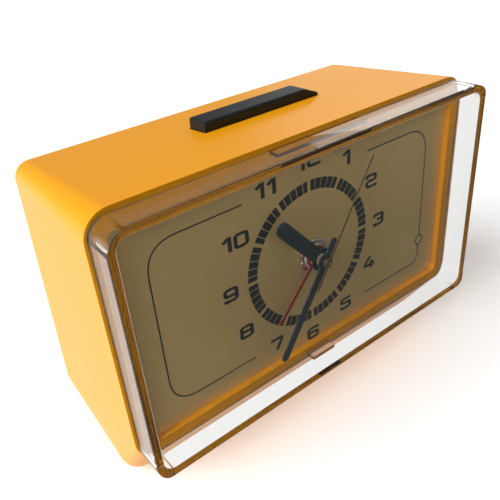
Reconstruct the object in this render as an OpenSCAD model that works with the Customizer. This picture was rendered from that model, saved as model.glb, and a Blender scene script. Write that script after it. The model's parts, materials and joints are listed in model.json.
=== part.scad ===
// Battery desk alarm clock with a moulded case, a box-shaped clear lens, a stop bar on
// top and a stepping-motor movement. Part frame: X to the right, the dial faces -Y,
// Z up, origin on the table under the middle of the clock.
//
// Most pieces are drawn in the dial's own frame, which lean() turns and lifts into
// place. Its origin is where the hand axis meets the dial's front face, its x runs to
// the right, its y runs to the back along the hand axis, and its z runs up the dial.

/* [Case] */
// Width of the case at its front
case_w = 130; // [115:1:156]
// Case front above the hand axis, measured up the dial
front_up = 38; // [34:0.5:44]
// Case front below the hand axis, measured down the dial
front_down = 37; // [34:0.5:44]
// Height of the hand axis above the underside of the case
axis_h = 57.4; // [55:0.1:69]
// Distance from the dial centre back to the rear face
back_reach = 54; // [52:0.5:65]
// Height of the rear top edge above the hand axis
rear_up = 29; // [26:0.5:32]
// Distance from the hand axis back to the lowest front corner of the case
chin_reach = 5.4; // [2:0.2:10]
// Angle by which the dial leans back
tilt = 7; // [4:0.5:10]
// Narrowing of each side from front to rear
side_draft = 2.5; // [0:0.1:4]
// Wall of the moulded case
wall = 2.5; // [2:0.1:3]
// Thickness of the border that holds the rear cover
rear_lip = 4; // [3.5:0.1:5]
// Radius of the front outline's corners
corner_r = 7; // [5:0.5:9]
// Radius of the rounded rear edges
back_r = 5; // [4.5:0.5:6]
// Radius of the rounded chin
chin_r = 6; // [4:0.5:8]

/* [Dial and lens] */
// Width of the rim at each side of the dial opening
side_rim = 5.7; // [5:0.1:8]
// Height of the rim above the dial opening
top_rim = 7; // [5:0.1:9]
// Height of the rim below the dial opening
low_rim = 5; // [4.6:0.1:8]
// Depth of the dial behind the front edge of the case
dial_depth = 1.86; // [1.2:0.02:3]
// Thickness of the dial sheet
dial_t = 0.8; // [0.5:0.1:1.2]
// Ledge on which the dial rests, all round
dial_ledge = 2; // [1.5:0.1:2.4]
// Step from each side of the case in to the lens
lens_inset = 0.7; // [0:0.1:1.5]
// Step from the top of the case down to the lens
lens_drop = 1; // [0:0.1:2]
// Distance of the lens front face from the dial
lens_reach = 12; // [11.2:0.1:15]
// Side wall of the lens
lens_wall = 2.2; // [1.5:0.1:3]
// Front wall of the lens
lens_front = 2; // [1.5:0.1:2.4]
// Corner radius of the lens
lens_r = 5.6; // [4:0.1:8]
// Rounding of the lens's front edges
lens_edge = 1.2; // [0.6:0.1:1.4]

/* [Hands] */
// Length of the hour hand from the axis to its tip
hour_len = 22.5; // [18:0.5:24]
// Width of the hour hand
hour_w = 4.4; // [3:0.1:5]
// Length of the minute hand
minute_len = 32; // [26:0.5:34]
// Width of the minute hand
minute_w = 2.6; // [1.8:0.1:3.2]
// Length of the minute hand's tail
minute_tail = 7.4; // [5:0.1:9]
// Length of the second hand
second_len = 32.6; // [26:0.2:34]
// Width of the second hand
second_w = 0.6; // [0.4:0.1:1]
// Length of the alarm hand
alarm_len = 22.2; // [16:0.2:24]
// Width of the alarm hand
alarm_w = 1.2; // [0.8:0.1:1.6]
// Hour shown, as a clockwise angle from the top
hour_angle = 318; // [0:1:359]
// Minute shown, as a clockwise angle from the top
minute_angle = 213; // [0:1:359]
// Second shown, as a clockwise angle from the top
second_angle = 32; // [0:1:359]
// Alarm time set, as a clockwise angle from the top
alarm_angle = 222; // [0:1:359]

/* [Stop bar] */
// Length of the bar
bar_len = 42; // [34:1:50]
// Width of the bar from front to back
bar_w = 7.6; // [6:0.1:8]
// Height of the bar above the case
bar_rise = 2.7; // [2.4:0.1:4]
// Offset of the bar to the right of the hand axis
bar_x = 4.2; // [0:0.2:6]
// Distance of the bar's middle behind the dial
bar_y = 25; // [24.6:0.1:26]
// Travel of the bar when it is pressed
bar_travel = 2.2; // [1:0.1:2.4]
// Distance of each stem from the bar's middle
stem_x = 15; // [10:0.5:18]
// Radius of the stems
stem_r = 1.4; // [1.2:0.1:1.6]

/* [Movement] */
// Width and height of the movement
move_w = 56; // [55:0.5:58]
// Thickness of its plates
plate_t = 1.5; // [1.2:0.1:2]
// Thickness of its side walls
move_wall = 1.5; // [1.2:0.1:1.8]
// Distance of each corner pillar from the axis, sideways and up
pillar_at = 24.5; // [24.5:0.1:25]
// Radius of the corner pillars
pillar_r = 2.2; // [2:0.1:2.4]
// Radius of the bush that passes through the dial
bush_r = 3.8; // [3.6:0.1:4.2]
// Thickness of every wheel
wheel_t = 1; // [0.8:0.1:1]

/* [Gear train] */
// Teeth of the small pinions on the seconds, third and rotor arbors
leaf_teeth = 10; // [10:1:12]
// Teeth of the third wheel, which drives the seconds pinion
third_teeth = 75; // [75:1:80]
// Teeth of the centre wheel, which the third pinion drives
centre_teeth = 80; // [75:1:80]
// Tooth module of the third wheel and the seconds pinion
third_mod = 0.3; // [0.3:0.01:0.31]
// Teeth of the second and intermediate wheels
step_teeth = 60; // [56:1:60]
// Teeth of the intermediate pinion
step_leaf = 12; // [12:1:13]
// Tooth module of the stepping train
step_mod = 0.25; // [0.25:0.01:0.26]
// Teeth of the cannon, motion and alarm pinions
pinion_teeth = 14; // [13:1:14]
// Teeth of the motion wheel
motion_teeth = 42; // [40:1:42]
// Teeth of the hour and alarm wheels
hour_teeth = 56; // [54:1:56]
// Tooth module of the hour and alarm wheels
hour_mod = 0.4; // [0.38:0.01:0.4]

/* [Setting knobs] */
// Radius of the knobs
knob_r = 8.5; // [7:0.1:9]
// Length of the knobs
knob_len = 8; // [6:0.5:8.5]
// Radius of the setting arbors
arbor_r = 1.2; // [1:0.1:1.3]
// Distance of the pocket's floor behind the dial
pocket_y = 42; // [40:0.5:43]

/* [Battery] */
// Diameter of the round cell, an R14
cell_d = 26.2; // [20:0.1:26.2]
// Length of the cell with its cap
cell_len = 50; // [46:0.5:50]

/* [Rear cover] */
// Thickness of the cover
cover_t = 2; // [1.6:0.1:2.2]
// Border of the case seen around the cover
cover_border = 6.5; // [6:0.1:8]
// Height of the rubber feet
foot_h = 1.2; // [1:0.1:2]
// Radius of the rubber feet
foot_r = 4.5; // [3:0.1:5]

/* [Fits] */
// Radial gap of a shaft that turns or slides in its hole
run_gap = 0.06; // [0.02:0.01:0.08]
// Radial gap of a piece fixed on a shaft
seat_gap = 0.01; // [0.01:0.01:0.02]
// Gap round a panel or bar in its opening
part_gap = 0.3; // [0.2:0.05:0.4]

/* [Hidden] */
$fn = 48;
hull_fn = 32;
// Front edge of the case, in the dial frame
seam_y = -dial_depth;
// Dial opening
window_w = case_w - 2 * side_rim;
window_up = front_up - top_rim;
window_down = front_down - low_rim;
// Outer edges of the lens
lens_w = case_w - 2 * lens_inset;
lens_high = front_up - lens_drop;
lens_low = -front_down;
// Where the hand axis meets the dial, in the part frame
front_reach = lens_reach * cos(tilt) + lens_high * sin(tilt);
back_y = (back_reach + front_reach) / 2;
axis_y = back_y - back_reach;
axis_z = foot_h + axis_h;
// Half width at the rear
rear_w = case_w / 2 - side_draft;
// Lowest front corner of the case, and the angle between its two faces there
chin_y = axis_y + chin_reach;
seam_low_y = axis_y + seam_y * cos(tilt) - front_down * sin(tilt);
seam_low_z = axis_z - seam_y * sin(tilt) - front_down * cos(tilt);
chin_turn = 180 - atan2(seam_low_z - foot_h, chin_y - seam_low_y);
chin_ball_y = chin_y + chin_r / tan(chin_turn / 2);
chin_w = case_w / 2 - side_draft * (chin_ball_y - seam_low_y) / (back_y - seam_low_y);
// Height of the case top in the dial frame, at distance y behind the dial
rear_top_y = back_reach * cos(tilt) - rear_up * sin(tilt);
rear_top_z = back_reach * sin(tilt) + rear_up * cos(tilt);
function top_z(y) = front_up - (y - seam_y) * (front_up - rear_top_z) / (rear_top_y - seam_y);
// Height of the inside of the top, from its front edge to its rounded rear edge
inner_y = back_reach - back_r - rear_lip + wall;
inner_z = rear_up - back_r;
inner_rear_y = inner_y * cos(tilt) - inner_z * sin(tilt);
inner_rear_z = inner_y * sin(tilt) + inner_z * cos(tilt) + back_r - wall;
function under_z(y) = front_up - wall - y * (front_up - wall - inner_rear_z) / inner_rear_y;
// Tabs that hold the lens in the case front: a wide one above, a narrow one below
lens_tab_t = 1.4;
lens_tab_w = [9, 32];
lens_tab_x = [0, 2.5];
tab_drop = lens_wall / 2 + lens_tab_t;
lens_tab_z = [lens_low + tab_drop, lens_high - tab_drop];
// Spring clips of the dial, just inside the case walls
clip_t = 0.5;
clip_x = case_w / 2 - wall - 0.4;
// Levels of the movement behind the dial
washer_t = 0.2;
plate_y = dial_t + washer_t;
train_y = plate_y + plate_t;
alarm_y = train_y + 0.4;
hour_y = alarm_y + wheel_t + 0.5;
motion_y = hour_y + wheel_t + 0.6;
centre_y = motion_y + wheel_t + 1;
bridge_y = centre_y + wheel_t + 0.4;
bridge_t = 0.8;
third_y = centre_y + wheel_t + 1.2;
second_y = third_y + wheel_t + 1.2;
inter_y = second_y + wheel_t + 1;
board_y = inter_y + wheel_t + 1.5;
board_t = 0.8;
lid_y = board_y + board_t + 1.3;
move_back = lid_y + plate_t;
move_in = move_w / 2 - move_wall;
stator_y = third_y + 0.4;
stator_t = 1.2;
core_y = stator_y + stator_t;
// Screws of the stator, at one x and two heights, and of the train bridge
stator_screw_x = 19.4;
stator_screw_z = [-23.5, -6];
bridge_screw = [0, -24.2];
// Ends of the coil, and the corner places of the circuit board
coil_low = -21.3;
coil_high = -7.9;
board_left = -21.5;
board_low = -25.5;
board_high = -12;
board_w = 18.5;
// Pinions stand out of their wheels by this much on each side
pinion_lap = 0.2;
// Centre distances and arbor places
third_at = third_mod * (third_teeth + leaf_teeth) / 2;
centre_mod = 2 * third_at / (centre_teeth + leaf_teeth);
inter_at = step_mod * (step_teeth + step_leaf) / 2;
rotor_gap = step_mod * (step_teeth + leaf_teeth) / 2;
rotor_dir = -30;
rotor_x = rotor_gap * cos(rotor_dir);
rotor_z = -inter_at + rotor_gap * sin(rotor_dir);
knob_at = hour_mod * (hour_teeth + pinion_teeth) / 2;
motion_mod = 2 * knob_at / (motion_teeth + pinion_teeth);
// Nested tubes, from the seconds arbor outward
tube_wall = 0.64;
second_r = 0.5;
cannon_in = second_r + run_gap;
cannon_r = cannon_in + tube_wall;
hour_in = cannon_r + run_gap;
hour_r = hour_in + tube_wall;
alarm_in = hour_r + run_gap;
alarm_r = alarm_in + tube_wall;
bush_in = alarm_r + run_gap;
// Hand levels in front of the dial
nut_t = 1.6;
bush_front = -nut_t - 0.3;
hand_t = 0.4;
alarm_hand_y = bush_front - 0.3 - hand_t;
hour_hand_y = alarm_hand_y - 1.9;
minute_hand_y = hour_hand_y - 1.7;
second_hand_y = minute_hand_y - 1.4;
// Pivots at the arbor ends
pivot_r = 0.34;
pivot_len = 0.8;
// Stop bar and its guide
bar_top = top_z(bar_y) + bar_rise;
flange_t = 1.2;
flange_lap = 1;
flange_z = under_z(bar_y + bar_w / 2 + flange_lap) - 0.2 - flange_t;
stem_y = bar_y;
guide_t = 1.5;
guide_z = 20.4;
guide_d = 7;
guide_y = bar_y - guide_d / 2;
post_x = 33;
post_y = bar_y;
post_r = 3;
// Stem ends, and the contact that they press
stem_low = guide_z - 0.9;
// Rear cover outline in the part frame
cover_w = rear_w - cover_border;
cover_low = foot_h + cover_border - 1;
cover_high = axis_z + rear_up - cover_border - 2;
cover_r = 4;
ledge = 2;
tab_w = 10;
screw_in = 5;
boss_r = 3.4;
boss_len = 9;
// Pocket for the knobs
pocket_w = knob_at + knob_r + 3;
pocket_up = knob_r + 3;
pocket_wall = 1.6;
// Battery box in the part frame
cell_r = cell_d / 2;
cell_room = 0.4;
box_w = cell_len / 2 + 3.6;
box_wall = 1.5;
box_low = cover_low + ledge + part_gap + box_wall;
cell_z = box_low + cell_room + cell_r;
cell_y = back_y - cover_t - cell_r - 3.3;
box_high = cell_z + cell_r + cell_room;
box_front = cell_y - cell_r - cell_room;
cell_gap = 2 * box_w - 0.5 - cell_len;
// Battery door
door_w = box_w + 0.5;
hinge_r = 1.8;
hinge_y = back_y - hinge_r;
door_low = box_low - 0.1;
hinge_z = door_low + part_gap + hinge_r;
door_high = box_high + 0.4;
pin_r = 0.9;
pin_len = 2;
// Buzzer
buzzer_r = 9;
buzzer_z = 10;
buzzer_h = 6.5;

// ---- helpers ------------------------------------------------------------------

// Turns and lifts the dial frame into the part frame
module lean() {
    translate([0, axis_y, axis_z]) rotate([-tilt, 0, 0]) children();
}

// A flat outline drawn in x and z, made solid from y to y + t
module slab(y, t) {
    translate([0, y + t, 0]) rotate([90, 0, 0]) linear_extrude(t) children();
}

// A round rod along y
module rod(x, z, y, len, r) {
    slab(y, len) translate([x, z]) circle(r);
}

// A block given by its two corners
module block(low, high) {
    translate(low) cube(high - low);
}

// A rounded rectangle from its half width and its lower and upper edges
module panel(half_w, low, high, r) {
    hw = half_w - r;
    union() {
        translate([-hw, low]) square([2 * hw, high - low]);
        translate([-half_w, low + r]) square([2 * half_w, high - low - 2 * r]);
        for (x = [-hw, hw], z = [low + r, high - r]) translate([x, z]) circle(r);
    }
}

// Outline of a toothed wheel, with one tooth pointing along the angle aim
module teeth(n, mod, aim) {
    pitch = 360 / n;
    root = mod * (n / 2 - 1.25);
    tip = mod * (n / 2 + 0.8);
    polygon([for (i = [0:n - 1], s = [-1, 1], k = [0, 1])
        let (outer = s < 0 ? k : 1 - k,
             a = aim + (i + s * (outer == 1 ? 0.09 : 0.23)) * pitch,
             r = outer == 1 ? tip : root)
        [r * cos(a), r * sin(a)]]);
}

// A toothed wheel at x, z on an arbor of radius r
module wheel(x, z, y, t, n, mod, aim, r) {
    slab(y, t) translate([x, z]) difference() {
        teeth(n, mod, aim);
        circle(r + seat_gap);
    }
}

// Lightening holes in a wheel
module spokes(n, at, r) {
    for (i = [0:n - 1]) rotate(i * 360 / n + 180 / n) translate([at, 0]) circle(r);
}

// An arbor with a pivot at each end, between two plates
module arbor(x, z, front, back, r) {
    rod(x, z, front + 0.1, back - front - 0.2, r);
    rod(x, z, front - pivot_len + 0.1, back - front + 2 * pivot_len - 0.2, pivot_r);
}

// A self-tapping screw along y, with its head towards the back
module screw(x, z, face_y, head_r, head_t, shank_r, len) {
    difference() {
        rod(x, z, face_y, head_t, head_r);
        slab(face_y + head_t * 0.5, head_t) translate([x, z])
            for (a = [0, 90]) rotate(a) square([head_r * 1.1, head_r * 0.28], center = true);
    }
    rod(x, z, face_y - len, len, shank_r);
}

// ---- case and front ------------------------------------------------------------

// The convex form of the case, shrunk by inset, with its back closed by lip
module case_form(front, inset, lip) {
    hull() {
        lean() slab(front, 0.4)
            panel(case_w / 2 - inset, inset - front_down, front_up - inset,
                  corner_r - inset, $fn = hull_fn);
        for (side = [-1, 1]) {
            translate([side * (chin_w - chin_r), chin_ball_y, foot_h + chin_r])
                sphere(chin_r - inset, $fn = hull_fn);
            for (z = [foot_h + back_r, axis_z + rear_up - back_r])
                translate([side * (rear_w - back_r), back_y - back_r - lip + inset, z])
                    sphere(back_r - inset, $fn = hull_fn);
        }
    }
}

module cover_outline(grow) {
    panel(cover_w + grow, cover_low - grow, cover_high + grow, cover_r + grow);
}

module at_cover_screws() {
    for (x = [screw_in - cover_w, cover_w - screw_in],
         z = [cover_low + screw_in, cover_high - screw_in])
        translate([x, z]) children();
}

// The way into the case from behind, which leaves a tab at each corner
module rear_opening() {
    difference() {
        cover_outline(-ledge);
        for (x = [-cover_w, cover_w - tab_w], z = [cover_low, cover_high - tab_w])
            translate([x, z]) square(tab_w);
    }
}

module stop_bar_plan(grow) {
    translate([bar_x, bar_y]) square([bar_len + 2 * grow, bar_w + 2 * grow], center = true);
}

module lens_tabs(grow) {
    for (i = [0, 1]) translate([lens_tab_x[i], lens_tab_z[i]])
        square([lens_tab_w[i] + 2 * grow, lens_tab_t + 2 * grow], center = true);
}

module case_shell() color("orange") {
    difference() {
        union() {
            difference() {
                case_form(seam_y, 0, 0);
                case_form(0, wall, rear_lip);
            }
            // Posts that carry the stop bar's guide, and bosses for the cover screws
            intersection() {
                case_form(seam_y, 0.4, 0.4);
                union() {
                    lean() for (side = [-1, 1])
                        translate([bar_x + side * post_x, post_y, guide_z + guide_t])
                            cylinder(r = post_r, h = front_up - guide_z);
                    slab(back_y - rear_lip - boss_len, boss_len + 1)
                        at_cover_screws() circle(boss_r);
                }
            }
        }
        lean() slab(seam_y - 1, dial_depth + 2) {
            panel(window_w / 2, -window_down, window_up, 2.4);
            lens_tabs(0.1);
        }
        lean() translate([0, 0, guide_z + guide_t + 6]) linear_extrude(40)
            stop_bar_plan(part_gap);
        slab(back_y - cover_t, 5) cover_outline(0.15);
        slab(back_y - rear_lip - 1, 8) rear_opening();
        slab(back_y - rear_lip - boss_len - 1, 20) at_cover_screws() circle(1.5 + run_gap);
        lean() for (side = [-1, 1])
            translate([bar_x + side * post_x, post_y, guide_z])
                cylinder(r = 1 + run_gap, h = 9);
    }
}

module lens() color([0.85, 0.88, 0.86, 0.35]) lean() {
    depth = lens_reach + seam_y;
    difference() {
        intersection() {
            slab(-lens_reach, depth) panel(lens_w / 2, lens_low, lens_high, lens_r);
            rotate([90, 0, 90]) translate([0, 0, -lens_w]) linear_extrude(2 * lens_w)
                lens_side(lens_low, lens_high, depth);
            translate([0, 0, -case_w]) linear_extrude(2 * case_w) rotate(90)
                lens_side(-lens_w / 2, lens_w / 2, depth);
        }
        slab(-lens_reach + lens_front, depth)
            panel(lens_w / 2 - lens_wall, lens_low + lens_wall, lens_high - lens_wall,
                  lens_r - lens_wall);
    }
    slab(seam_y - 3, 3 + dial_depth - 0.1) lens_tabs(0);
    // Roots that join the tabs to the lens walls
    for (i = [0, 1])
        translate([lens_tab_x[i] - lens_tab_w[i] / 2, seam_y - 3, lens_tab_z[i] + 0.8 * i - 1.4])
            cube([lens_tab_w[i], 1.4, 2]);
}

// Section of the lens through its depth, with rounded front edges
module lens_side(low, high, depth) {
    translate([-lens_reach, low + lens_edge]) square([depth, high - low - 2 * lens_edge]);
    translate([lens_edge - lens_reach, low]) square([depth - lens_edge, high - low]);
    for (z = [low + lens_edge, high - lens_edge])
        translate([lens_edge - lens_reach, z]) circle(lens_edge);
}

module dial_outline() {
    panel(window_w / 2 + dial_ledge, -window_down - dial_ledge, window_up + dial_ledge, 3);
}

module dial_plate() color([0.78, 0.7, 0.52]) lean() slab(0, dial_t) difference() {
    dial_outline();
    circle(bush_r + run_gap);
}

// Spring clips that hold the dial against the case, at its four corners
module dial_clips() color("silver") lean()
    for (side = [-1, 1], z = [-20, 20]) {
        slab(dial_t, clip_t) translate([side * (clip_x - 2.5), z]) square([5, 7], center = true);
        slab(dial_t, 5) translate([side * (clip_x - clip_t / 2), z])
            square([clip_t, 7], center = true);
    }

module dial_washer() color("dimgray") lean() slab(dial_t, washer_t) difference() {
    circle(8);
    circle(bush_r + run_gap);
}

// ---- rear ------------------------------------------------------------------------

module pocket_outline(grow) {
    panel(pocket_w + grow, -pocket_up - grow, pocket_up + grow, 3 + grow);
}

module rear_cover() color([0.12, 0.12, 0.12]) difference() {
    union() {
        slab(back_y - cover_t, cover_t) cover_outline(0);
        intersection() {
            union() {
                lean() slab(pocket_y - pocket_wall, back_reach) pocket_outline(pocket_wall);
                block([-box_w - box_wall, box_front - box_wall, box_low - box_wall],
                      [box_w + box_wall, back_y, box_high + box_wall]);
                translate([-door_w - 4, hinge_y, hinge_z]) rotate([0, 90, 0])
                    cylinder(r = hinge_r + 0.7, h = 2 * door_w + 8);
            }
            block([-case_w, -case_w, 0], [case_w, back_y - cover_t / 2, 2 * case_w]);
        }
    }
    lean() slab(pocket_y, back_reach) pocket_outline(0);
    lean() for (x = [-1, 1] * knob_at)
        rod(x, 0, pocket_y - 5, 10, arbor_r + run_gap);
    block([-box_w, box_front, box_low], [box_w, back_y + 1, box_high]);
    block([-door_w - part_gap, back_y - cover_t - 0.01, door_low],
          [door_w + part_gap, back_y + 1, door_high + part_gap]);
    block([-door_w - part_gap, back_y - 2 * hinge_r - part_gap, door_low],
          [door_w + part_gap, back_y + 1, hinge_z + hinge_r + part_gap]);
    translate([-door_w - 3, hinge_y, hinge_z]) rotate([0, 90, 0])
        cylinder(r = pin_r + run_gap, h = 2 * door_w + 6);
    slab(back_y - 2 * cover_t, 8) at_cover_screws() circle(1.6);
    slab(back_y - 0.9, 2) at_cover_screws() circle(3.1);
    // Sound slots
    slab(back_y - 2 * cover_t, 8) for (i = [-3:3])
        translate([i * 4 - 0.8, cover_high - 13]) square([1.6, 9]);
}

module cover_screws() color("silver")
    for (x = [screw_in - cover_w, cover_w - screw_in],
         z = [cover_low + screw_in, cover_high - screw_in])
        screw(x, z, back_y - 0.9, 2.8, 0.8, 1.5, boss_len);

module feet() color([0.1, 0.1, 0.1])
    for (x = [-1, 1] * (rear_w - 14), y = [chin_ball_y + foot_r, back_y - back_r - foot_r])
        translate([x, y, 0]) cylinder(r = foot_r, h = foot_h);

module battery_cell() color([0.35, 0.4, 0.38]) translate([0, cell_y, cell_z]) {
    cap = 1.5;
    cell_x = box_w - 0.5 - cell_len / 2;
    translate([cell_x - cell_len / 2, 0, 0]) rotate([0, 90, 0]) {
        cylinder(r = cell_r, h = cell_len - cap);
        cylinder(r = 4.2, h = cell_len);
    }
}

module battery_contact() color("silver") translate([box_w - 0.45, cell_y, cell_z])
    rotate([0, 90, 0]) cylinder(r = 6, h = 0.4);

module battery_spring() color("silver") translate([-box_w + 0.4, cell_y, cell_z])
    rotate([0, 90, 0]) coil(5, 0.4, cell_gap - 0.8, 4);

module battery_door() color([0.12, 0.12, 0.12]) difference() {
    union() {
        block([-door_w, back_y - cover_t, hinge_z], [door_w, back_y, door_high]);
        translate([-door_w, hinge_y, hinge_z]) rotate([0, 90, 0])
            cylinder(r = hinge_r, h = 2 * door_w);
        translate([-door_w - pin_len, hinge_y, hinge_z]) rotate([0, 90, 0])
            cylinder(r = pin_r, h = 2 * (door_w + pin_len));
    }
    // Grip grooves
    for (i = [0:3])
        block([-9, back_y - 0.6, door_high - 4 - 2 * i], [9, back_y + 1, door_high - 3 - 2 * i]);
}

// ---- stop bar --------------------------------------------------------------------

module at_stems() {
    for (side = [-1, 1]) translate([bar_x + side * stem_x, stem_y, 0]) children();
}

module at_posts() {
    for (side = [-1, 1]) translate([bar_x + side * post_x, post_y, 0]) children();
}

module bar_guide() color([0.2, 0.2, 0.2]) lean() difference() {
    translate([bar_x - post_x - 3.5, guide_y, guide_z])
        cube([2 * post_x + 7, guide_d, guide_t]);
    translate([0, 0, guide_z - 1]) {
        at_stems() cylinder(r = stem_r + run_gap, h = guide_t + 2);
        at_posts() cylinder(r = 1 + run_gap, h = guide_t + 2);
    }
}

module guide_screws() color("silver") lean() at_posts() {
    translate([0, 0, guide_z - 1.2]) cylinder(r = 1.9, h = 1.2);
    translate([0, 0, guide_z]) cylinder(r = 1, h = 8);
}

module stop_bar() color([0.1, 0.1, 0.1]) lean() {
    low = flange_z + flange_t;
    half = bar_len / 2;
    left_cut = 0.6;
    right_cut = 5;
    intersection() {
        slab(0, 2 * bar_y) translate([bar_x, 0])
            polygon([[-half, low - 0.5], [half, low - 0.5], [half, bar_top - 2],
                     [half - right_cut, bar_top], [left_cut - half, bar_top],
                     [-half, bar_top - left_cut]]);
        rotate([90, 0, 90]) translate([bar_y, 0, bar_x - bar_len]) linear_extrude(2 * bar_len)
            translate([0, low - 2]) panel_up(bar_w / 2, bar_top - low + 2, 0.9);
    }
    translate([bar_x - half - flange_lap, bar_y - bar_w / 2 - flange_lap, flange_z])
        cube([bar_len + 2 * flange_lap, bar_w + 2 * flange_lap, flange_t]);
    at_stems() translate([0, 0, stem_low]) cylinder(r = stem_r, h = flange_z - stem_low + 0.5);
}

// An upright block's section with rounded upper corners
module panel_up(half_w, h, r) {
    translate([-half_w, 0]) square([2 * half_w, h - r]);
    translate([r - half_w, 0]) square([2 * (half_w - r), h]);
    for (x = [r - half_w, half_w - r]) translate([x, h - r]) circle(r);
}

// A wire coil along z, standing on z = 0
module coil(r, wire, len, turns) {
    steps = 14;
    sides = 6;
    count = turns * steps;
    rise = (len - 2 * wire) / count;
    points = [for (i = [0:count], k = [0:sides - 1])
        let (a = i * 360 / steps, b = k * 360 / sides, d = r + wire * cos(b))
        [d * cos(a), d * sin(a), wire + i * rise + wire * sin(b)]];
    polyhedron(points, concat(
        [[for (k = [0:sides - 1]) k]],
        [[for (k = [0:sides - 1]) count * sides + sides - 1 - k]],
        [for (i = [0:count - 1], k = [0:sides - 1])
            let (n = (k + 1) % sides, a = i * sides, b = a + sides)
            [a + k, b + k, b + n, a + n]]));
}

module bar_springs() color("silver") lean() at_stems()
    translate([0, 0, guide_z + guide_t + 0.05])
        coil(stem_r + 0.8, 0.3, flange_z - guide_z - guide_t - 0.1, 6);

module stop_contact() color("gold") lean() {
    leaf_z = stem_low - bar_travel - 0.3;
    x = bar_x + stem_x;
    block([x - 2.5, move_back, leaf_z - 0.3], [x + 2.5, stem_y + 2, leaf_z]);
    block([x - 2.5, move_back, leaf_z - 5], [x + 2.5, move_back + 0.3, leaf_z]);
}

// ---- movement --------------------------------------------------------------------

module move_outline(half) {
    panel(half, -half, half, 2);
}

module at_pillars() {
    for (x = [-1, 1] * pillar_at, z = [-1, 1] * pillar_at) translate([x, z]) children();
}

// Pivot holes that both plates share
module pivots() {
    for (p = [[0, third_at], [rotor_x, rotor_z]]) translate(p) circle(pivot_r + run_gap);
}

module movement_front() color([0.85, 0.85, 0.8]) lean() difference() {
    union() {
        slab(plate_y, plate_t) move_outline(move_w / 2);
        slab(plate_y, lid_y - plate_y) difference() {
            move_outline(move_w / 2);
            move_outline(move_in);
        }
        slab(plate_y, lid_y - plate_y) at_pillars() circle(pillar_r);
        rod(-pillar_at, -pillar_at, plate_y, bridge_y - plate_y, pillar_r + 0.6);
        rod(bridge_screw[0], bridge_screw[1], plate_y, bridge_y - plate_y, 1.7);
        for (z = stator_screw_z) rod(stator_screw_x, z, plate_y, stator_y - plate_y, 1.7);
        rod(0, 0, bush_front, plate_y - bush_front, bush_r);
    }
    rod(0, 0, bush_front - 1, train_y - bush_front + 2, bush_in);
    slab(train_y - pivot_len, pivot_len + 1) {
        pivots();
        for (x = [-1, 1] * knob_at) translate([x, 0]) circle(pivot_r + run_gap);
    }
    slab(lid_y - 8, 9) at_pillars() circle(1 + run_gap);
    slab(bridge_y - 3, 4) translate(bridge_screw) circle(0.8 + run_gap);
    slab(stator_y - 3, 4) stator_holes();
}

module movement_back() color([0.85, 0.85, 0.8]) lean() difference() {
    union() {
        slab(lid_y, plate_t) move_outline(move_w / 2);
        for (p = [[-18.5, -14.5], [-6, -23]])
            rod(p[0], p[1], board_y + board_t, lid_y - board_y - board_t, 1);
    }
    slab(lid_y - 1, plate_t + 2) {
        for (x = [-1, 1] * knob_at) translate([x, 0]) circle(arbor_r + run_gap);
        at_pillars() circle(1 + run_gap);
    }
    slab(lid_y - 1, pivot_len + 1) {
        pivots();
        circle(pivot_r + run_gap);
        translate([0, -inter_at]) circle(pivot_r + run_gap);
    }
}

module movement_screws() color("silver") lean()
    for (x = [-1, 1] * pillar_at, z = [-1, 1] * pillar_at)
        screw(x, z, move_back, 1.9, 1.2, 1, 8);

module centre_nut() color("silver") lean() slab(-nut_t, nut_t) difference() {
    circle(5.2);
    circle(bush_r + seat_gap);
    for (a = [0, 180]) rotate(a) translate([5.4, 0]) square([1.6, 1.2], center = true);
}

module train_bridge() color("gold") lean() slab(bridge_y, bridge_t) difference() {
    edge = move_in - 0.2;
    union() {
        translate([-edge, -edge]) square([edge + 3, 7]);
        translate([-3, -edge]) square([6, edge - inter_at]);
        translate([0, -inter_at]) circle(3);
    }
    translate([-pillar_at, -pillar_at]) circle(pillar_r + run_gap);
    translate([-move_w, -move_w]) square(move_w - pillar_at);
    translate(bridge_screw) circle(0.8 + run_gap);
    translate([0, -inter_at]) circle(pivot_r + run_gap);
}

module train_screws() color("silver") lean() {
    screw(bridge_screw[0], bridge_screw[1], bridge_y + bridge_t, 1.5, 0.9, 0.8, 3.4);
    for (z = stator_screw_z) screw(stator_screw_x, z, core_y + stator_t, 1.5, 0.9, 0.8, 5);
}

module stator_holes() {
    for (z = stator_screw_z) translate([stator_screw_x, z]) circle(0.8 + run_gap);
}

module stator() color("gray") lean() slab(stator_y, stator_t) difference() {
    union() {
        translate([rotor_x, rotor_z]) circle(5.4);
        translate([5, -25]) square([5.2, 20.5]);
        for (z = [-25, -7.5]) translate([5, z]) square([16.4, 3]);
    }
    translate([rotor_x, rotor_z]) circle(3.2);
    for (a = [0, 180]) translate([rotor_x, rotor_z]) rotate(a) translate([3, -0.3])
        square([1.7, 0.6]);
    stator_holes();
}

module coil_core() color("gray") lean() slab(core_y, stator_t) difference() {
    translate([stator_screw_x - 2, -25]) square([4, 20.5]);
    stator_holes();
}

// A block round the coil core, standing out from it by pad
module round_core(pad, low, high) {
    block([stator_screw_x - 2 - pad, core_y - pad, low],
          [stator_screw_x + 2 + pad, core_y + stator_t + pad, high]);
}

module coil_bobbin() color([0.9, 0.9, 0.85]) lean() difference() {
    union() {
        round_core(0.7, coil_low, coil_high);
        round_core(2.3, coil_low, coil_low + 0.8);
        round_core(2.3, coil_high - 0.8, coil_high);
    }
    round_core(0.05, coil_low - 1, coil_high + 1);
}

module coil_winding() color([0.7, 0.35, 0.15]) lean() difference() {
    round_core(1.9, coil_low + 0.85, coil_high - 0.85);
    round_core(0.75, coil_low, coil_high);
}

module rotor_magnet() color([0.25, 0.25, 0.27]) lean()
    slab(stator_y - 0.6, 2.4) translate([rotor_x, rotor_z]) difference() {
        circle(2.6);
        circle(0.4 + seat_gap);
    }

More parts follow.
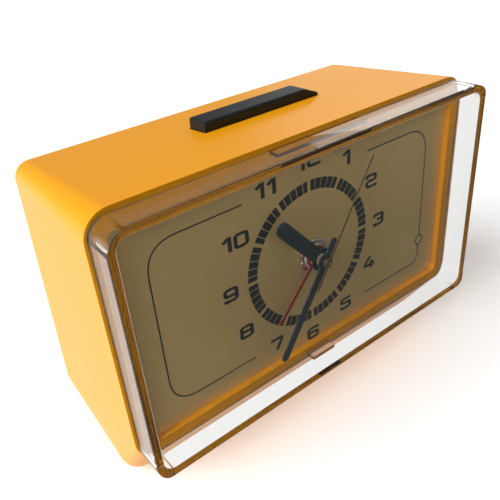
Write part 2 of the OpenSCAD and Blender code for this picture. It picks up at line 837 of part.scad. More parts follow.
// A pinion cut on its own arbor
module leaves(x, z, y, n, mod, aim) {
    slab(y - pinion_lap, wheel_t + 2 * pinion_lap) translate([x, z]) teeth(n, mod, aim);
}

module rotor_pinion() color([0.9, 0.85, 0.6]) lean() {
    arbor(rotor_x, rotor_z, train_y, lid_y, 0.4);
    leaves(rotor_x, rotor_z, inter_y, leaf_teeth, step_mod, 180 + rotor_dir + 180 / leaf_teeth);
}

module intermediate_pinion() color([0.9, 0.85, 0.6]) lean() {
    arbor(0, -inter_at, bridge_y + bridge_t, lid_y, 0.5);
    leaves(0, -inter_at, second_y, step_leaf, step_mod, 90 + 180 / step_leaf);
}

module intermediate_wheel() color([0.95, 0.9, 0.7]) lean()
    wheel(0, -inter_at, inter_y, wheel_t, step_teeth, step_mod, rotor_dir, 0.5);

module second_arbor() color("silver") lean() {
    rod(0, 0, second_hand_y - 0.2, lid_y - 0.1 - second_hand_y + 0.2, second_r);
    rod(0, 0, lid_y - 1, pivot_len + 0.9, pivot_r);
    leaves(0, 0, third_y, leaf_teeth, third_mod, 90 + 180 / leaf_teeth);
}

module second_wheel() color([0.95, 0.9, 0.7]) lean()
    wheel(0, 0, second_y, wheel_t, step_teeth, step_mod, 270, second_r);

module third_pinion() color([0.9, 0.85, 0.6]) lean() {
    arbor(0, third_at, train_y, lid_y, 0.6);
    leaves(0, third_at, centre_y, leaf_teeth, centre_mod, 270 + 180 / leaf_teeth);
}

module third_wheel() color([0.95, 0.9, 0.7]) lean()
    wheel(0, third_at, third_y, wheel_t, third_teeth, third_mod, 270, 0.6);

module centre_wheel() color("gold") lean() slab(centre_y, wheel_t) difference() {
    teeth(centre_teeth, centre_mod, 90);
    circle(cannon_r + seat_gap);
    spokes(5, 6.6, 2.4);
}

module cannon_pinion() color("gold") lean() difference() {
    union() {
        tube_front = minute_hand_y - 0.1;
        rod(0, 0, tube_front, centre_y + wheel_t + 0.3 - tube_front, cannon_r);
        leaves(0, 0, motion_y, pinion_teeth, motion_mod, 180 + 180 / pinion_teeth);
    }
    rod(0, 0, minute_hand_y - 1, centre_y + 3 - minute_hand_y, cannon_in);
}

// A wheel on its own tube, which reaches forward to its hand
module tube_wheel(y, front, outer, inner, aim) {
    difference() {
        union() {
            rod(0, 0, front, y + wheel_t - front, outer);
            slab(y, wheel_t) difference() {
                teeth(hour_teeth, hour_mod, aim);
                spokes(6, 7, 2);
            }
        }
        rod(0, 0, front - 1, y + wheel_t - front + 2, inner);
    }
}

module hour_wheel() color([0.9, 0.9, 0.85]) lean()
    tube_wheel(hour_y, hour_hand_y - 0.1, hour_r, hour_in, 180);

module alarm_wheel() color([0.9, 0.9, 0.85]) lean()
    tube_wheel(alarm_y, alarm_hand_y - 0.1, alarm_r, alarm_in, 0);

module motion_wheel() color([0.9, 0.9, 0.85]) lean() slab(motion_y, wheel_t)
    translate([-knob_at, 0]) difference() {
        teeth(motion_teeth, motion_mod, 0);
        circle(arbor_r + seat_gap);
        spokes(5, 6.2, 2.2);
    }

// A setting arbor with its pinion, from the front plate to the knob
module setting_arbor(x, y, aim) {
    rod(x, 0, train_y + 0.1, pocket_y + knob_len - 1.6 - train_y, arbor_r);
    rod(x, 0, train_y - pivot_len + 0.1, pivot_len + 0.5, pivot_r);
    leaves(x, 0, y, pinion_teeth, hour_mod, aim);
}

module motion_arbor() color("silver") lean()
    setting_arbor(-knob_at, hour_y, 180 / pinion_teeth);

module alarm_arbor() color("silver") lean()
    setting_arbor(knob_at, alarm_y, 180 + 180 / pinion_teeth);

module knob(x) {
    flutes = 24;
    difference() {
        rod(x, 0, pocket_y + 1, knob_len, knob_r);
        slab(pocket_y + 2.5, knob_len) translate([x, 0]) for (i = [0:flutes - 1])
            rotate(i * 360 / flutes) translate([knob_r + 0.25, 0]) circle(0.7);
        rod(x, 0, pocket_y + 1 + knob_len - 0.8, 2, knob_r - 2.2);
        rod(x, 0, pocket_y, knob_len - 1.4, arbor_r + seat_gap);
    }
}

module time_knob() color([0.1, 0.1, 0.1]) lean() knob(-knob_at);

module alarm_knob() color([0.1, 0.1, 0.1]) lean() knob(knob_at);

module circuit_board() color([0.25, 0.45, 0.25]) lean() slab(board_y, board_t)
    translate([board_left, board_low]) square([board_w, board_high - board_low]);

module clock_chip() color([0.08, 0.08, 0.08]) lean()
    rod(-12, -19.5, board_y - 1.2, 1.2, 2.6);

module quartz_crystal() color("silver") lean()
    translate([board_left + 2, board_y - 1.05, board_high - 2.2]) rotate([0, 90, 0])
        cylinder(r = 1, h = 6);

module alarm_contact() color("gold") lean() {
    block([17, motion_y - 0.2, 16], [move_in - 0.02, motion_y + 0.1, 20]);
    block([move_in - 0.32, motion_y - 0.2, 16], [move_in - 0.02, motion_y + 4, 20]);
}

module buzzer_case() color([0.15, 0.15, 0.15]) lean() difference() {
    rod(0, buzzer_z, move_back, buzzer_h, buzzer_r);
    rod(0, buzzer_z, move_back + 1, buzzer_h, buzzer_r - 1);
}

module buzzer_cap() color("gold") lean() slab(move_back + buzzer_h, 0.6)
    translate([0, buzzer_z]) difference() {
        circle(buzzer_r);
        circle(1.6);
    }

// ---- hands -----------------------------------------------------------------------

// A straight hand with round ends and a round boss
module hand(y, angle, len, tail, w, boss, bore) {
    slab(y, hand_t) rotate(-angle) difference() {
        union() {
            translate([-w / 2, w / 2 - tail]) square([w, len + tail - w]);
            for (end = [len - w / 2, w / 2 - tail]) translate([0, end]) circle(w / 2);
            circle(boss);
        }
        circle(bore + seat_gap);
    }
}

module hour_hand() color([0.16, 0.22, 0.24]) lean()
    hand(hour_hand_y, hour_angle, hour_len, 0, hour_w, 3.5, hour_r);

module minute_hand() color([0.16, 0.22, 0.24]) lean()
    hand(minute_hand_y, minute_angle, minute_len, minute_tail, minute_w, 2.7, cannon_r);

module second_hand() color([0.3, 0.25, 0.15]) lean()
    hand(second_hand_y, second_angle, second_len, 9, second_w, 1.2, second_r);

module alarm_hand() color([0.5, 0.18, 0.1]) lean()
    hand(alarm_hand_y, alarm_angle, alarm_len, 0, alarm_w, 3.6, alarm_r);

// ---- selection -------------------------------------------------------------------

case_shell();
lens();
dial_plate();
dial_clips();
dial_washer();
rear_cover();
cover_screws();
feet();
bar_guide();
guide_screws();
stop_bar();
bar_springs();
stop_contact();
movement_front();
movement_back();
movement_screws();
centre_nut();
train_bridge();
train_screws();
stator();
coil_core();
coil_bobbin();
coil_winding();
rotor_magnet();
rotor_pinion();
intermediate_wheel();
intermediate_pinion();
second_arbor();
second_wheel();
third_pinion();
third_wheel();
centre_wheel();
cannon_pinion();
hour_wheel();
alarm_wheel();
motion_wheel();
motion_arbor();
time_knob();
alarm_arbor();
alarm_knob();
circuit_board();
clock_chip();
quartz_crystal();
alarm_contact();
buzzer_case();
buzzer_cap();
battery_cell();
battery_spring();
battery_contact();
battery_door();
hour_hand();
minute_hand();
second_hand();
alarm_hand();
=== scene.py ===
import json
import math

import bmesh
import bpy
from mathutils import Matrix, Vector

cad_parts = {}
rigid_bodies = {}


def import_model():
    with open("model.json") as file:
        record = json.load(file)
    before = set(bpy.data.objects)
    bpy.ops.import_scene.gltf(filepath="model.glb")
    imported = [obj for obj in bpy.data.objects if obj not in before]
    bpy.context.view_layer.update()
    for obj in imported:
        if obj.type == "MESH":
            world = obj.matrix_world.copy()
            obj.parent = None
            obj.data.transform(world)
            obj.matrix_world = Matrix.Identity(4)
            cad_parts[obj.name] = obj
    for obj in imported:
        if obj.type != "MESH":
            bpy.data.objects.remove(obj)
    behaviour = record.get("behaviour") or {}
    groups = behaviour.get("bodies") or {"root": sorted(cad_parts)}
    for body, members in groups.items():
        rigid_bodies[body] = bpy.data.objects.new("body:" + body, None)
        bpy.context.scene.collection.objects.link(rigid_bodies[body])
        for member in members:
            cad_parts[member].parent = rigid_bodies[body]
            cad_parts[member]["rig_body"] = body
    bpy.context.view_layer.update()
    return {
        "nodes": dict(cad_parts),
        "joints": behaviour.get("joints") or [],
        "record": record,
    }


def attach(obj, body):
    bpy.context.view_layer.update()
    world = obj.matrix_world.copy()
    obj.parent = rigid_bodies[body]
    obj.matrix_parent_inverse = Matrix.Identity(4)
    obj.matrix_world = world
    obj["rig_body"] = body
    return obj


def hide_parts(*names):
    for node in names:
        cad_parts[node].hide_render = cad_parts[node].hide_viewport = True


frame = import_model()

MM = 0.001
slot_of = {s["node"]: s["material_slot"] for s in frame["record"]["subparts"]}

# The dial's own frame: x to the right, y back along the hand axis, z up the dial
hand_joint = next(j for j in frame["joints"] if j["name"] == "second_hand_turn")
dial_back = Vector(hand_joint["axis"]).normalized()
dial_up = Vector((1, 0, 0)).cross(dial_back)
dial_frame = Matrix.Translation(hand_joint["pos_m"]) @ Matrix(
    ((1, dial_back.x, dial_up.x, 0),
     (0, dial_back.y, dial_up.y, 0),
     (0, dial_back.z, dial_up.z, 0),
     (0, 0, 0, 1))
)


def on_dial(x, y, z):
    """A point of the dial's frame, given in millimetres."""
    return dial_frame @ Vector((x * MM, y * MM, z * MM))


# ---- camera --------------------------------------------------------------------


CAMERA_PLACE = (-0.1013718, -0.1171725, 0.1639515)
CAMERA_AHEAD = (0.4994, 0.624697, -0.600306)
CAMERA_UP = (0.3773, 0.466946, 0.799755)
SENSOR_WIDTH = 36
FOCAL_LENGTH = 43.168
CAMERA_SHIFT = (0.0046, 0.0043)


def place_camera():
    data = bpy.data.cameras.new("view_camera")
    data.sensor_width = SENSOR_WIDTH
    data.lens = FOCAL_LENGTH
    data.shift_x, data.shift_y = CAMERA_SHIFT
    data.clip_start = 0.01
    camera = bpy.data.objects.new("view_camera", data)
    bpy.context.scene.collection.objects.link(camera)
    ahead = Vector(CAMERA_AHEAD).normalized()
    up = Vector(CAMERA_UP)
    right = ahead.cross(up).normalized()
    up = right.cross(ahead)
    turn = Matrix((right, up, -ahead)).transposed().to_4x4()
    camera.matrix_world = Matrix.Translation(CAMERA_PLACE) @ turn
    bpy.context.scene.camera = camera


place_camera()

# ---- shared effects for the finishes --------------------------------------------


def new_effect(name, inputs, outputs):
    """An empty shader group with its named inputs and outputs."""
    group = bpy.data.node_groups.new(name, "ShaderNodeTree")
    for label, kind, value in inputs:
        socket = group.interface.new_socket(label, in_out="INPUT", socket_type=kind)
        socket.default_value = value
    for label, kind in outputs:
        group.interface.new_socket(label, in_out="OUTPUT", socket_type=kind)
    return group, group.nodes.new("NodeGroupInput"), group.nodes.new("NodeGroupOutput")


def make_mottle():
    """Slow, faint change of a colour over a piece, with fine specks in it."""
    group, given, out = new_effect(
        "mottle",
        [("Colour", "NodeSocketColor", (1, 1, 1, 1)),
         ("Patch Scale", "NodeSocketFloat", 40.0),
         ("Patch Depth", "NodeSocketFloat", 0.08),
         ("Speck Scale", "NodeSocketFloat", 900.0),
         ("Speck Depth", "NodeSocketFloat", 0.04)],
        [("Colour", "NodeSocketColor")],
    )
    nodes, links = group.nodes, group.links
    place = nodes.new("ShaderNodeTexCoord")
    total = None
    for scale, depth in (("Patch Scale", "Patch Depth"), ("Speck Scale", "Speck Depth")):
        noise = nodes.new("ShaderNodeTexNoise")
        noise.inputs["Detail"].default_value = 3
        links.new(place.outputs["Object"], noise.inputs["Vector"])
        links.new(given.outputs[scale], noise.inputs["Scale"])
        centre = nodes.new("ShaderNodeMath")
        centre.operation = "SUBTRACT"
        centre.inputs[1].default_value = 0.5
        links.new(noise.outputs["Fac"], centre.inputs[0])
        part = nodes.new("ShaderNodeMath")
        part.operation = "MULTIPLY"
        links.new(centre.outputs[0], part.inputs[0])
        links.new(given.outputs[depth], part.inputs[1])
        if total is None:
            total = part.outputs[0]
        else:
            both = nodes.new("ShaderNodeMath")
            links.new(total, both.inputs[0])
            links.new(part.outputs[0], both.inputs[1])
            total = both.outputs[0]
    level = nodes.new("ShaderNodeMath")
    level.inputs[1].default_value = 1.0
    links.new(total, level.inputs[0])
    tint = nodes.new("ShaderNodeVectorMath")
    tint.operation = "SCALE"
    links.new(given.outputs["Colour"], tint.inputs[0])
    links.new(level.outputs[0], tint.inputs["Scale"])
    links.new(tint.outputs[0], out.inputs["Colour"])
    return group


def make_grain():
    """Moulded or cast surface grain, as a height."""
    group, given, out = new_effect(
        "surface_grain",
        [("Grain Scale", "NodeSocketFloat", 1500.0),
         ("Wave Scale", "NodeSocketFloat", 60.0),
         ("Wave Share", "NodeSocketFloat", 0.5)],
        [("Height", "NodeSocketFloat")],
    )
    nodes, links = group.nodes, group.links
    place = nodes.new("ShaderNodeTexCoord")
    fine = nodes.new("ShaderNodeTexNoise")
    fine.inputs["Detail"].default_value = 4
    wide = nodes.new("ShaderNodeTexNoise")
    wide.inputs["Detail"].default_value = 1
    for noise, scale in ((fine, "Grain Scale"), (wide, "Wave Scale")):
        links.new(place.outputs["Object"], noise.inputs["Vector"])
        links.new(given.outputs[scale], noise.inputs["Scale"])
    share = nodes.new("ShaderNodeMath")
    share.operation = "MULTIPLY_ADD"
    links.new(wide.outputs["Fac"], share.inputs[0])
    links.new(given.outputs["Wave Share"], share.inputs[1])
    links.new(fine.outputs["Fac"], share.inputs[2])
    links.new(share.outputs[0], out.inputs["Height"])
    return group


def make_handling():
    """Roughness with dull patches where a piece is handled and wiped."""
    group, given, out = new_effect(
        "handling_marks",
        [("Roughness", "NodeSocketFloat", 0.4),
         ("Change", "NodeSocketFloat", 0.1),
         ("Scale", "NodeSocketFloat", 30.0)],
        [("Roughness", "NodeSocketFloat")],
    )
    nodes, links = group.nodes, group.links
    place = nodes.new("ShaderNodeTexCoord")
    noise = nodes.new("ShaderNodeTexNoise")
    noise.inputs["Detail"].default_value = 5
    noise.inputs["Roughness"].default_value = 0.65
    links.new(place.outputs["Object"], noise.inputs["Vector"])
    links.new(given.outputs["Scale"], noise.inputs["Scale"])
    centre = nodes.new("ShaderNodeMath")
    centre.operation = "SUBTRACT"
    centre.inputs[1].default_value = 0.5
    links.new(noise.outputs["Fac"], centre.inputs[0])
    total = nodes.new("ShaderNodeMath")
    total.operation = "MULTIPLY_ADD"
    links.new(centre.outputs[0], total.inputs[0])
    links.new(given.outputs["Change"], total.inputs[1])
    links.new(given.outputs["Roughness"], total.inputs[2])
    links.new(total.outputs[0], out.inputs["Roughness"])
    return group


mottle = make_mottle()
surface_grain = make_grain()
handling_marks = make_handling()


def place_effect(nodes, group, **values):
    node = nodes.new("ShaderNodeGroup")
    node.node_tree = group
    for label, value in values.items():
        node.inputs[label.replace("_", " ")].default_value = value
    return node


def finish(name, colour, roughness, metallic=0.0, patches=(40, 0.08), specks=(900, 0.04),
           marks=(0.1, 30), grain=(1500, 60, 0.5), grain_depth=0.00002, coat=0.0, specular=0.5):
    """A solid finish: a mottled colour, handled roughness and a fine grain."""
    material = bpy.data.materials.new(name)
    material.use_nodes = True
    nodes, links = material.node_tree.nodes, material.node_tree.links
    shader = nodes["Principled BSDF"]
    shader.inputs["Metallic"].default_value = metallic
    shader.inputs["Specular IOR Level"].default_value = specular
    shader.inputs["Coat Weight"].default_value = coat
    shader.inputs["Coat Roughness"].default_value = 0.08
    tint = place_effect(nodes, mottle, Colour=(*colour, 1), Patch_Scale=patches[0],
                        Patch_Depth=patches[1], Speck_Scale=specks[0], Speck_Depth=specks[1])
    links.new(tint.outputs["Colour"], shader.inputs["Base Color"])
    dull = place_effect(nodes, handling_marks, Roughness=roughness, Change=marks[0], Scale=marks[1])
    links.new(dull.outputs["Roughness"], shader.inputs["Roughness"])
    relief = place_effect(nodes, surface_grain, Grain_Scale=grain[0], Wave_Scale=grain[1],
                          Wave_Share=grain[2])
    bump = nodes.new("ShaderNodeBump")
    bump.inputs["Strength"].default_value = 0.6
    bump.inputs["Distance"].default_value = grain_depth
    links.new(relief.outputs["Height"], bump.inputs["Height"])
    links.new(bump.outputs["Normal"], shader.inputs["Normal"])
    return material


def clear_finish(name):
    """Clear moulded acrylic, which lets light through to what is behind it."""
    material = bpy.data.materials.new(name)
    material.use_nodes = True
    nodes, links = material.node_tree.nodes, material.node_tree.links
    shader = nodes["Principled BSDF"]
    shader.inputs["Base Color"].default_value = (0.985, 0.985, 0.98, 1)
    shader.inputs["Metallic"].default_value = 0.0
    shader.inputs["Transmission Weight"].default_value = 1.0
    shader.inputs["IOR"].default_value = 1.49
    dull = place_effect(nodes, handling_marks, Roughness=0.012, Change=0.02, Scale=45.0)
    links.new(dull.outputs["Roughness"], shader.inputs["Roughness"])
    clear = nodes.new("ShaderNodeBsdfTransparent")
    clear.inputs["Color"].default_value = (0.93, 0.93, 0.92, 1)
    path = nodes.new("ShaderNodeLightPath")
    mix = nodes.new("ShaderNodeMixShader")
    links.new(path.outputs["Is Shadow Ray"], mix.inputs["Fac"])
    links.new(shader.outputs["BSDF"], mix.inputs[1])
    links.new(clear.outputs["BSDF"], mix.inputs[2])
    links.new(mix.outputs["Shader"], nodes["Material Output"].inputs["Surface"])
    return material


finishes = {
    "orange_case": finish("orange_case", (0.96, 0.385, 0.002), 0.34, patches=(18, 0.06),
                          specks=(700, 0.03), marks=(0.1, 26), grain=(2600, 90, 0.4),
                          grain_depth=0.000012, specular=0.28),
    "clear_acrylic": clear_finish("clear_acrylic"),
    "champagne_dial": finish("champagne_dial", (0.8, 0.575, 0.235), 0.36, metallic=0.25,
                             patches=(25, 0.05), specks=(1600, 0.05), marks=(0.06, 60),
                             grain=(4000, 120, 0.3), grain_depth=0.000006),
    "steel": finish("steel", (0.6, 0.6, 0.58), 0.3, metallic=1.0, grain=(3000, 200, 0.4),
                    grain_depth=0.000006),
    "fibre": finish("fibre", (0.3, 0.22, 0.16), 0.8, specks=(1800, 0.25)),
    "black_plastic": finish("black_plastic", (0.022, 0.022, 0.023), 0.45, specks=(1500, 0.2),
                            marks=(0.15, 35), grain=(2400, 90, 0.3), grain_depth=0.00003),
    "foot_rubber": finish("foot_rubber", (0.02, 0.02, 0.02), 0.8, specks=(2200, 0.3)),
    "bar_plastic": finish("bar_plastic", (0.012, 0.015, 0.0155), 0.42, specks=(1500, 0.4),
                          marks=(0.16, 120), grain=(1500, 300, 0.5), grain_depth=0.00009,
                          specular=0.25),
    "brass": finish("brass", (0.72, 0.5, 0.2), 0.3, metallic=1.0, grain_depth=0.000006),
    "movement_plastic": finish("movement_plastic", (0.76, 0.74, 0.67), 0.5),
    "bright_nut": finish("bright_nut", (0.75, 0.74, 0.71), 0.16, metallic=1.0,
                         grain_depth=0.000003),
    "core_iron": finish("core_iron", (0.3, 0.3, 0.31), 0.4, metallic=1.0, patches=(120, 0.2)),
    "copper_wire": finish("copper_wire", (0.5, 0.17, 0.06), 0.3, metallic=0.8, coat=0.5,
                          grain=(5000, 900, 0.8), grain_depth=0.00008),
    "magnet": finish("magnet", (0.1, 0.1, 0.11), 0.45, metallic=0.7, specks=(2500, 0.4)),
    "gear_plastic": finish("gear_plastic", (0.82, 0.75, 0.52), 0.42),
    "board_green": finish("board_green", (0.03, 0.16, 0.07), 0.3, coat=0.4, patches=(200, 0.2)),
    "cell_jacket": finish("cell_jacket", (0.06, 0.12, 0.16), 0.3, metallic=0.3, coat=0.3),
    "hand_paint": finish("hand_paint", (0.028, 0.05, 0.058), 0.38, specks=(2500, 0.15),
                         grain=(3500, 300, 0.3), grain_depth=0.000008),
    "second_paint": finish("second_paint", (0.16, 0.11, 0.05), 0.35, metallic=0.4),
    "alarm_paint": finish("alarm_paint", (0.34, 0.045, 0.02), 0.36, specks=(2500, 0.15),
                          grain_depth=0.000008),
    "dial_ink": finish("dial_ink", (0.018, 0.028, 0.026), 0.5, patches=(150, 0.15),
                       specks=(3500, 0.25), grain_depth=0.000004),
}

# ---- making pieces ---------------------------------------------------------------


def put_in_scene(name, vertices, faces, body, slot):
    """A new mesh piece that rides on a body and wears a slot's finish."""
    mesh = bpy.data.meshes.new(name)
    mesh.from_pydata(vertices, [], faces)
    mesh.validate()
    mesh.materials.append(finishes[slot])
    piece = bpy.data.objects.new(name, mesh)
    bpy.context.scene.collection.objects.link(piece)
    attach(piece, body)
    return piece


def round_off(piece, radius, segments, angle):
    """Smooth shading with softened edges, and flat faces that stay flat."""
    mesh = piece.data
    mesh.polygons.foreach_set("use_smooth", [True] * len(mesh.polygons))
    mesh.set_sharp_from_angle(angle=math.radians(angle))
    soft = piece.modifiers.new("soft_edges", "BEVEL")
    soft.width = radius * MM
    soft.segments = segments
    soft.limit_method = "ANGLE"
    soft.angle_limit = math.radians(angle)
    soft.harden_normals = False
    flat = piece.modifiers.new("flat_faces", "WEIGHTED_NORMAL")
    flat.weight = 60
    flat.keep_sharp = True


# Points closer than this, in metres, are one point; faces within this many degrees are one face
SAME_POINT = 1e-6
SAME_FACE = 0.6


def refine(node, radius, segments=2, angle=30):
    """A finished copy of a designed piece, which stands for it; the radius is in millimetres."""
    source = frame["nodes"][node]
    form = bmesh.new()
    form.from_mesh(source.data)
    bmesh.ops.remove_doubles(form, verts=form.verts, dist=SAME_POINT)
    bmesh.ops.dissolve_limit(form, angle_limit=math.radians(SAME_FACE), verts=form.verts,
                             edges=form.edges)
    form.verts.index_update()
    vertices = [tuple(v.co) for v in form.verts]
    faces = [[v.index for v in f.verts] for f in form.faces]
    form.free()
    piece = put_in_scene(node + "_finished", vertices, faces, source["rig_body"],
                         slot_of[node])
    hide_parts(node)
    round_off(piece, radius, segments, angle)


# ---- dial print -------------------------------------------------------------------

# Front and back of the print along the hand axis, in millimetres
PRINT_TOP = -0.03
PRINT_FOOT = 0.01
SHARPEST_MITRE = 0.35
LEAST_STEP = 1e-5


class Print:
    """Thin printed shapes on the dial face, collected into one piece."""

    def __init__(self):
        self.vertices = []
        self.faces = []

    def patch(self, outline):
        """A thin raised shape over a convex outline of (x, z) points."""
        first = len(self.vertices)
        count = len(outline)
        for level in (PRINT_TOP, PRINT_FOOT):
            self.vertices += [on_dial(x, level, z) for x, z in outline]
        self.faces.append([first + i for i in range(count)])
        self.faces.append([first + count + i for i in reversed(range(count))])
        for i in range(count):
            j = (i + 1) % count
            self.faces.append([first + j, first + i, first + count + i, first + count + j])

    def ribbon(self, path, width, closed=False):
        """A line of even width along a path, with mitred corners."""
        count = len(path)
        left, right = [], []
        for i, (x, z) in enumerate(path):
            before = path[i - 1] if i or closed else None
            after = path[(i + 1) % count] if i < count - 1 or closed else None
            runs = []
            for a, b in ((before, (x, z)), ((x, z), after)):
                if a is not None and b is not None:
                    length = math.hypot(b[0] - a[0], b[1] - a[1])
                    runs.append(((b[0] - a[0]) / length, (b[1] - a[1]) / length))
            tx, tz = sum(r[0] for r in runs), sum(r[1] for r in runs)
            size = math.hypot(tx, tz)
            tx, tz = tx / size, tz / size
            reach = width / 2 / max(SHARPEST_MITRE, tx * runs[0][0] + tz * runs[0][1])
            left.append((x - tz * reach, z + tx * reach))
            right.append((x + tz * reach, z - tx * reach))
        for i in range(count if closed else count - 1):
            j = (i + 1) % count
            self.patch([left[i], left[j], right[j], right[i]])

    def make(self, name):
        piece = put_in_scene(name, self.vertices, self.faces, "clock_body", "dial_ink")
        form = bmesh.new()
        form.from_mesh(piece.data)
        bmesh.ops.recalc_face_normals(form, faces=form.faces)
        form.to_mesh(piece.data)
        form.free()


def softened(path, radius, closed=False, steps=4):
    """A path with its corners rounded."""
    count = len(path)
    out = []
    for i, corner in enumerate(path):
        if not closed and i in (0, count - 1):
            out.append(corner)
            continue
        before, after = Vector(path[i - 1]), Vector(path[(i + 1) % count])
        corner = Vector(corner)
        to_before, to_after = before - corner, after - corner
        reach = min(radius, to_before.length / 2, to_after.length / 2)
        start = corner + to_before.normalized() * reach
        end = corner + to_after.normalized() * reach
        for k in range(steps + 1):
            t = k / steps
            at = start * (1 - t) ** 2 + corner * 2 * t * (1 - t) + end * t**2
            if not out or math.hypot(at.x - out[-1][0], at.y - out[-1][1]) > LEAST_STEP:
                out.append((at.x, at.y))
    if closed and math.hypot(out[0][0] - out[-1][0], out[0][1] - out[-1][1]) < LEAST_STEP:
        out.pop()
    return out


# Strokes of each figure in a cell of height 1 and width 0.8
STROKE = 0.2
STROKE_CORNER = 0.17
LOW, MID, HIGH = 0.1, 0.5, 0.9
LEFT, RIGHT = 0.1, 0.7
FIGURES = {
    "0": [([(LEFT, LOW), (RIGHT, LOW), (RIGHT, HIGH), (LEFT, HIGH)], True)],
    "1": [([(0.42, 0.0), (0.42, 1.0)], False), ([(0.36, 0.93), (0.08, 0.7)], False)],
    "2": [([(LEFT, 0.7), (LEFT, HIGH), (RIGHT, HIGH), (RIGHT, MID), (LEFT, MID), (LEFT, LOW),
            (0.8, LOW)], False)],
    "3": [([(LEFT, 0.74), (LEFT, HIGH), (RIGHT, HIGH), (RIGHT, MID), (0.3, MID)], False),
          ([(0.3, MID), (RIGHT, MID), (RIGHT, LOW), (LEFT, LOW), (LEFT, 0.27)], False)],
    "4": [([(0.5, 1.0), (0.08, 0.4)], False), ([(0.02, 0.3), (0.82, 0.3)], False),
          ([(0.6, 0.0), (0.6, 0.62)], False)],
    "5": [([(0.76, HIGH), (LEFT, HIGH), (LEFT, 0.56), (RIGHT, 0.56), (RIGHT, LOW),
            (LEFT, LOW), (LEFT, 0.26)], False)],
    "6": [([(RIGHT, 0.76), (RIGHT, HIGH), (LEFT, HIGH), (LEFT, LOW), (RIGHT, LOW),
            (RIGHT, 0.54), (LEFT, 0.54)], False)],
    "7": [([(0.0, HIGH), (0.72, HIGH), (0.66, 0.68), (0.36, 0.0)], False)],
    "8": [([(LEFT, 0.53), (RIGHT, 0.53), (RIGHT, HIGH), (LEFT, HIGH)], True),
          ([(LEFT, LOW), (RIGHT, LOW), (RIGHT, 0.53), (LEFT, 0.53)], True)],
    "9": [([(LEFT, 0.24), (LEFT, LOW), (RIGHT, LOW), (RIGHT, HIGH), (LEFT, HIGH),
            (LEFT, 0.46), (RIGHT, 0.46)], False)],
}
# Step from one figure to the next, and the gap that it includes
NARROW_STEP, FULL_STEP, STEP_GAP = 0.62, 0.88, 0.08
# Millimetres to a cell's unit, and between crossing strokes of a figure
FIGURE_HIGH = 4.5
FIGURE_WIDE = 6.3
STROKE_LIFT = 0.002
# The hours stand on this circle; those with two figures on the left stand further out
HOUR_RADIUS = 29.2
TWO_FIGURE_SHIFT = 0.9


def print_hours():
    sheet = Print()
    for hour in range(1, 13):
        turn = math.radians(360 / 12 * hour)
        label = str(hour)
        radius = HOUR_RADIUS + (TWO_FIGURE_SHIFT if hour in (10, 11) else 0)
        advance = [NARROW_STEP if c == "1" else FULL_STEP for c in label]
        wide = sum(advance) - STEP_GAP
        x = radius * math.sin(turn) / FIGURE_WIDE - wide / 2
        z = radius * math.cos(turn) / FIGURE_HIGH - 0.5
        for c, step in zip(label, advance):
            for n, (path, closed) in enumerate(FIGURES[c]):
                at = [(px + x, pz + z) for px, pz in path]
                at = softened(at, STROKE_CORNER, closed)
                scaled = Print()
                scaled.ribbon(at, STROKE, closed)
                first = len(sheet.vertices)
                for v in scaled.vertices:
                    local = dial_frame.inverted() @ v / MM
                    sheet.vertices.append(on_dial(local.x * FIGURE_WIDE,
                                                  local.y - STROKE_LIFT * n * (local.y < 0),
                                                  local.z * FIGURE_HIGH))
                sheet.faces += [[first + i for i in f] for f in scaled.faces]
            x += step
    sheet.make("hour_numerals")


def print_minutes():
    sheet = Print()
    inner, outer = 20.03, 23.28
    hour_gap, minute_gap = 0.24, 0.055
    for minute in range(60):
        start = minute + (hour_gap if minute % 5 == 0 else minute_gap)
        end = minute + 1 - (hour_gap if minute % 5 == 4 else minute_gap)
        turns = [math.radians(6 * (start + (end - start) * k / 2)) for k in range(3)]
        outline = [(inner * math.sin(t), inner * math.cos(t)) for t in turns]
        outline += [(outer * math.sin(t), outer * math.cos(t)) for t in reversed(turns)]
        sheet.patch(outline)
    sheet.make("minute_track")


def print_border():
    sheet = Print()
    left, right, low, high, line = -51.6, 50.7, -25.5, 24.6, 0.42
    gap_left, gap_right = -22.9, 23.3
    corner, low_corner = 9, 11
    sheet.ribbon(softened([(gap_left, high), (left, high), (left, low), (gap_left, low)],
                          corner, steps=10), line)
    ring_z, ring_r, sides = -16.7, 1.75, 28
    sheet.ribbon(softened([(gap_right, high), (right, high), (right, ring_z + ring_r)],
                          corner, steps=10), line)
    sheet.ribbon(softened([(right, ring_z - ring_r), (right - 0.3, low), (gap_right, low)],
                          low_corner, steps=10), line)
    circle = [(right + ring_r * math.cos(a), ring_z + ring_r * math.sin(a))
              for a in [2 * math.pi * k / sides for k in range(sides)]]
    sheet.ribbon(circle, line, closed=True)
    sheet.make("border_line")


print_hours()
print_minutes()
print_border()

# ---- the finished pieces -----------------------------------------------------------

refine("case_shell", 0.35, segments=3, angle=35)
refine("lens", 0.12, segments=2, angle=35)
refine("dial_plate", 0.08, segments=1)
refine("stop_bar", 0.3, segments=3, angle=28)
refine("hour_hand", 0.12)
refine("minute_hand", 0.12)
refine("second_hand", 0.08)
refine("alarm_hand", 0.1)
refine("centre_nut", 0.2)
refine("rear_cover", 0.25)
refine("cover_screws", 0.15)
refine("feet", 0.6, segments=3)
refine("time_knob", 0.25)
refine("alarm_knob", 0.25)
refine("battery_door", 0.2)

for node, piece in frame["nodes"].items():
    if not piece.hide_render:
        piece.data.materials.clear()
        piece.data.materials.append(finishes[slot_of[node]])

# ---- floor and light ----------------------------------------------------------------


FLOOR_HALF = 4.0
FLOOR_GLOW = 0.3
ROOM_LEVEL = 0.26
LEVEL_AHEAD, LEVEL_BEHIND = 0.1, 1.1


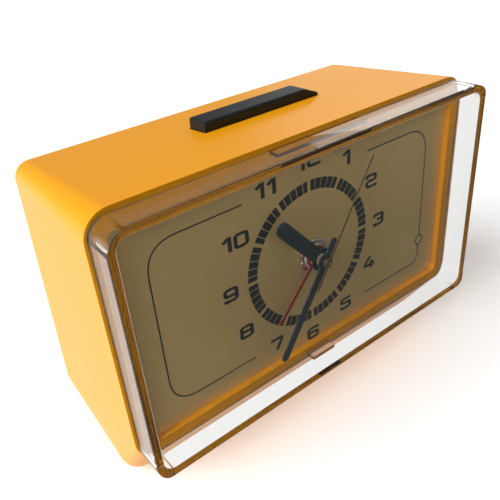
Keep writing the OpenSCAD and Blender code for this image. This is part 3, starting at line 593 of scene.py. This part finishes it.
def lay_floor():
    mesh = bpy.data.meshes.new("floor")
    half = FLOOR_HALF
    mesh.from_pydata([(-half, -half, 0), (half, -half, 0), (half, half, 0), (-half, half, 0)],
                     [], [(0, 1, 2, 3)])
    floor = bpy.data.objects.new("floor", mesh)
    bpy.context.scene.collection.objects.link(floor)
    paper = finish("floor_paper", (0.9, 0.9, 0.9), 0.9, patches=(2, 0.01), specks=(300, 0.01))
    shader = paper.node_tree.nodes["Principled BSDF"]
    shader.inputs["Emission Color"].default_value = (1, 1, 1, 1)
    shader.inputs["Emission Strength"].default_value = FLOOR_GLOW
    mesh.materials.append(paper)
    floor.visible_glossy = False
    floor.visible_transmission = False


def hang_sun(name, towards, strength, angle):
    data = bpy.data.lights.new(name, "SUN")
    data.energy = strength
    data.angle = math.radians(angle)
    sun = bpy.data.objects.new(name, data)
    bpy.context.scene.collection.objects.link(sun)
    sun.rotation_euler = Vector(towards).to_track_quat("Z", "Y").to_euler()


def hang_panel(name, towards, distance, size, strength):
    data = bpy.data.lights.new(name, "AREA")
    data.shape = "RECTANGLE"
    data.size, data.size_y = size
    data.energy = strength
    panel = bpy.data.objects.new(name, data)
    bpy.context.scene.collection.objects.link(panel)
    direction = Vector(towards).normalized()
    panel.location = direction * distance + Vector((0, 0, 0.05))
    panel.rotation_euler = direction.to_track_quat("Z", "Y").to_euler()


def light_studio():
    world = bpy.data.worlds.new("studio")
    world.use_nodes = True
    nodes, links = world.node_tree.nodes, world.node_tree.links
    sky = nodes["Background"]
    sky.inputs["Color"].default_value = (1, 1, 1, 1)
    # A dim room; below the horizon, dark in front of the clock and bright behind it
    where = nodes.new("ShaderNodeTexCoord")
    split = nodes.new("ShaderNodeSeparateXYZ")
    links.new(where.outputs["Generated"], split.inputs[0])
    table = nodes.new("ShaderNodeMapRange")
    table.interpolation_type = "SMOOTHSTEP"
    table.inputs["From Min"].default_value = -0.1
    table.inputs["From Max"].default_value = 0.45
    table.inputs["To Min"].default_value = LEVEL_AHEAD
    table.inputs["To Max"].default_value = LEVEL_BEHIND
    links.new(split.outputs["Y"], table.inputs["Value"])
    below = nodes.new("ShaderNodeMapRange")
    below.interpolation_type = "SMOOTHSTEP"
    below.inputs["From Max"].default_value = -0.2
    links.new(split.outputs["Z"], below.inputs["Value"])
    level = nodes.new("ShaderNodeMix")
    level.inputs[2].default_value = ROOM_LEVEL
    links.new(below.outputs[0], level.inputs[0])
    links.new(table.outputs[0], level.inputs[3])
    links.new(level.outputs[0], sky.inputs["Strength"])
    bpy.context.scene.world = world
    hang_sun("left_key", (-0.75, 0.15, 0.62), 3.3, 40)
    hang_panel("far_panel", (0.8, 0.55, 0.2), 1.6, (1.1, 0.35), 1.5)
    bpy.context.scene.view_settings.view_transform = "Standard"


lay_floor()
light_studio()

bpy.context.view_layer.update()
